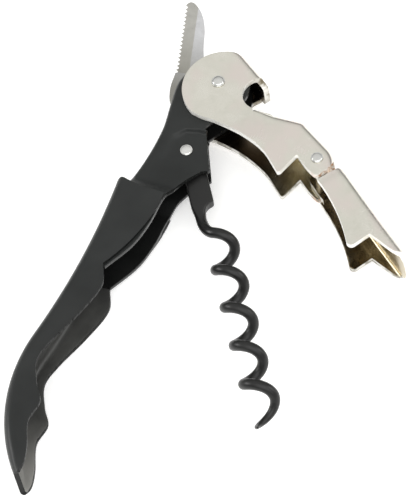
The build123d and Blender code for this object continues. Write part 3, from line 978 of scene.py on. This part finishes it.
def knife_outline():
    """Side view of the blade: the spine, the round tang, and the serrated edge from heel to tip."""
    teeth = []
    for number in range(teeth_count):
        for share, depth in tooth_shape:
            spot = heel + blade_run * ((number + share) / teeth_count) + blade_across * (tooth_depth * depth)
            teeth.append((spot.x, spot.y))
    spine = flow(
        tuple(tip.xy), (-15.2, 22.35), (-14.0, 22.3), (-11.2, 19.7), (-9.2, 15.8), (-7.6, 10.3), (-3.6, 0.2),
    )
    tang = joined(
        arc((-3.6, 0.2), (-2.9, -5.3), (-7.0, -6.9)),
        flow((-7.0, -6.9), (-9.9, -5.9), (-11.5, -1.9), tuple(heel.xy)),
    )
    outline = joined(spine, tang, teeth)[::-1]
    if math.dist(outline[0], outline[-1]) < SAME_PLACE:
        outline.pop()
    return outline


def cut_whole(mesh, place, normal):
    """Cuts every face of a mesh with a plane."""
    geometry = mesh.verts[:] + mesh.edges[:] + mesh.faces[:]
    bmesh.ops.bisect_plane(mesh, geom=geometry, dist=1e-4, plane_co=place, plane_no=normal)


def place_key(v):
    """A corner's side-view place, to find the corner across from it."""
    return tuple(round(c, 4) for c in v.co.xy)


def add_other_side(mesh):
    """Mirrors a flat sheet to the other side of Z = 0 and closes the rim between the two."""
    mirror = bmesh.ops.duplicate(mesh, geom=mesh.faces[:])["geom"]
    for item in mirror:
        if isinstance(item, bmesh.types.BMVert):
            item.co.z = -item.co.z
    bmesh.ops.reverse_faces(mesh, faces=[item for item in mirror if isinstance(item, bmesh.types.BMFace)])
    rims = [e for e in mesh.edges if e.is_boundary]
    bottom = {place_key(v): v for e in rims for v in e.verts if v.co.z < 0}
    for e in [e for e in rims if e.verts[0].co.z > 0]:
        loop = e.link_loops[0]
        a, b = loop.vert, loop.link_loop_next.vert
        mesh.faces.new((b, a, bottom[place_key(a)], bottom[place_key(b)]))


def make_knife():
    """Blade with a ground bevel, thin at its serrated edge."""
    mesh = bmesh.new()
    mesh.faces.new([mesh.verts.new((x, y, blade_half)) for x, y in knife_outline()])
    # rows along the blade, closest behind the teeth and at the bevel's end, and then rows across it
    for offset in (0.55, 0.8, 1.2, 1.7, 2.2, 2.7, 3.0, 3.15, 3.3, 4.2, 5.2, 6.2):
        cut_whole(mesh, heel + blade_across * offset, blade_across)
    for height in range(-6, 23):
        cut_whole(mesh, Vector((0, height, 0)), (0, 1, 0))
    add_other_side(mesh)
    for v in mesh.verts:
        reach = (v.co - heel).dot(blade_across)
        near_tang = ramp(v.co.y, (2.0, 1.0), (4.5, 0.0))
        thin = edge_share + (1 - edge_share) * min(1.0, max(0.0, reach / bevel_width))
        v.co.z *= near_tang + (1 - near_tang) * thin
    for face in mesh.faces:
        centre = face.calc_center_median()
        reach = (centre - heel).dot(blade_across)
        face.material_index = 1 if reach < bevel_width and centre.y > 3.0 else 0
    obj = to_object(mesh, "knife_visual", [blade_flat_shaded, blade_ground_shaded])
    rounded_edges(obj, 0.05, segments=1)
    settle(obj, 30)
    return obj


attach(make_knife(), "knife", "blade_steel", "knife")


# ---- rivets, pin and spacers ------------------------------------------------
def rivet_profile(shaft, head_r, seat, height, dome):
    """Half profile of a rivet with two formed heads, from bottom to top: undercut, flange and dome."""
    rim = seat + height * (1 - dome)
    crown = seat + height
    dome_r = head_r * 0.86
    top = [
        (shaft, 0.0), (shaft, seat), (head_r * 0.84, seat), (head_r * 0.94, seat + 0.04),
        (head_r, seat + 0.1), (head_r, rim - 0.05), (head_r * 0.97, rim), (dome_r, rim - 0.03),
    ]
    for step in range(1, 9):
        angle = math.pi / 2 * step / 8
        top.append((dome_r * math.cos(angle), rim + (crown - rim) * math.sin(angle)))
    top[-1] = (0, crown)
    return [(radius, -level) for radius, level in reversed(top)] + top[1:]


# node, place, body, shaft radius, head radius, height of the head's seat, head height, domed share of it
rivets = (
    ("lever_rivet", (0, 0), "handle", 1.15, 1.52, lever_narrow + 0.05, 0.62, 0.6),
    ("worm_rivet", worm_pivot, "handle", 1.0, 1.4, frame_narrow - pad_depth + 0.01, 0.4, 0.5),
    ("boot_rivet", boot_pivot, "lever", 1.0, 1.38, lever_wide + 0.01, 0.48, 0.55),
)
for node, at, body, shaft, head_r, seat, height, dome in rivets:
    piece = turned(node + "_visual", at, rivet_profile(shaft, head_r, seat, height, dome), rivet_metal)
    attach(piece, body, "rivet_steel", node)

pin_r, pin_half, pin_chamfer = 1.0, frame_narrow, 0.15
pin_profile = [
    (0, -pin_half), (pin_r - pin_chamfer, -pin_half), (pin_r, pin_chamfer - pin_half),
    (pin_r, pin_half - pin_chamfer), (pin_r - pin_chamfer, pin_half), (0, pin_half),
]
knife_pin = turned("knife_pin_visual", knife_pivot, pin_profile, rivet_metal)
attach(knife_pin, "handle", "rivet_steel", "knife_pin")

# the rings fill the gaps between the blade and the frame's walls, but for a little play
spacer_play = 0.03
spacer_low, spacer_high = blade_half + spacer_play, frame_narrow - frame_sheet - spacer_play
spacer_profile = [
    (1.01, spacer_low), (1.8, spacer_low), (1.9, spacer_low + 0.1), (1.9, spacer_high - 0.1),
    (1.8, spacer_high), (1.01, spacer_high), (1.01, spacer_low),
]
for sign, side in ((1, "upper"), (-1, "lower")):
    ring = [(radius, level * sign) for radius, level in spacer_profile]
    spacer = turned(f"knife_spacer_{side}", knife_pivot, ring, rivet_metal)
    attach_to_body(spacer, "handle")
    # one CAD node holds both rings, so only one of the pieces replaces it
    if sign == 1:
        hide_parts("knife_spacers")


# ---- floor, light, camera ---------------------------------------------------
def make_floor():
    """Pale floor just under the tool. It glows a little, so that shadows on it stay pale."""
    mesh = bmesh.new()
    bmesh.ops.create_grid(mesh, x_segments=1, y_segments=1, size=2.5)
    data = bpy.data.meshes.new("floor")
    mesh.to_mesh(data)
    mesh.free()
    floor = bpy.data.objects.new("floor", data)
    bpy.context.scene.collection.objects.link(floor)
    floor.location.z = cad_box[0][2] - 0.02 * MM
    look = Shader(
        "pale_floor", Roughness=0.7, Specular_IOR_Level=0.2,
        Emission_Color=(1, 1, 1, 1), Emission_Strength=0.36,
    )
    colour = look.blend(look.noise(30, detail=3), (0.86, 0.86, 0.855), (0.9, 0.9, 0.895))
    data.materials.append(look.set(Base_Color=colour))


def make_light(name, place, size, power):
    """A white panel that faces the tool."""
    data = bpy.data.lights.new(name, "AREA")
    data.shape = "RECTANGLE"
    data.size, data.size_y = size
    data.energy = power
    light = bpy.data.objects.new(name, data)
    bpy.context.scene.collection.objects.link(light)
    light.location = place
    light.rotation_euler = (-Vector(place)).to_track_quat("-Z", "Y").to_euler()


def make_world():
    """Studio that is dark grey at the horizon and white overhead, for the metal to reflect."""
    world = bpy.data.worlds.new("studio")
    world.use_nodes = True
    tree = world.node_tree
    back = tree.nodes["Background"]
    coord = tree.nodes.new("ShaderNodeTexCoord")
    split = tree.nodes.new("ShaderNodeSeparateXYZ")
    fade = tree.nodes.new("ShaderNodeValToRGB")
    stops = ((0.0, 0.16), (0.22, 0.3), (0.5, 0.75), (0.8, 1.0))
    for number, (place, grey) in enumerate(stops):
        element = fade.color_ramp.elements[number] if number < 2 else fade.color_ramp.elements.new(place)
        element.position = place
        element.color = (grey, grey, grey * 0.985, 1)
    tree.links.new(coord.outputs["Generated"], split.inputs["Vector"])
    tree.links.new(split.outputs["Z"], fade.inputs["Fac"])
    tree.links.new(fade.outputs["Color"], back.inputs["Color"])
    back.inputs["Strength"].default_value = 0.9
    bpy.context.scene.world = world


def make_camera(target, elevation, azimuth, roll, distance, lens):
    """Looks at the target from above, turned about Z and rolled about its own axis."""
    data = bpy.data.cameras.new("camera")
    data.lens = lens
    data.sensor_width = 36.0
    data.clip_start = 0.01
    camera = bpy.data.objects.new("camera", data)
    bpy.context.scene.collection.objects.link(camera)
    turn = Matrix.Rotation(math.radians(azimuth), 4, "Z")
    turn @= Matrix.Rotation(math.radians(90 - elevation), 4, "X")
    turn @= Matrix.Rotation(math.radians(roll), 4, "Z")
    camera.matrix_world = Matrix.Translation(target) @ turn @ Matrix.Translation((0, 0, distance))
    bpy.context.scene.camera = camera


make_floor()
make_world()
make_light("key", place=(0.35, -0.55, 0.85), size=(1.3, 1.3), power=7.0)
make_light("side", place=(0.8, 0.3, 0.5), size=(0.5, 0.4), power=2.5)
make_light("low", place=(-0.8, -0.2, 0.35), size=(0.5, 0.25), power=3.0)
make_camera(
    Vector((-7.735, 1.643, 6.5)) * MM, elevation=59.0, azimuth=28.6, roll=-11.1, distance=0.6181, lens=201.6,
)
bpy.context.scene.view_settings.view_transform = "Standard"
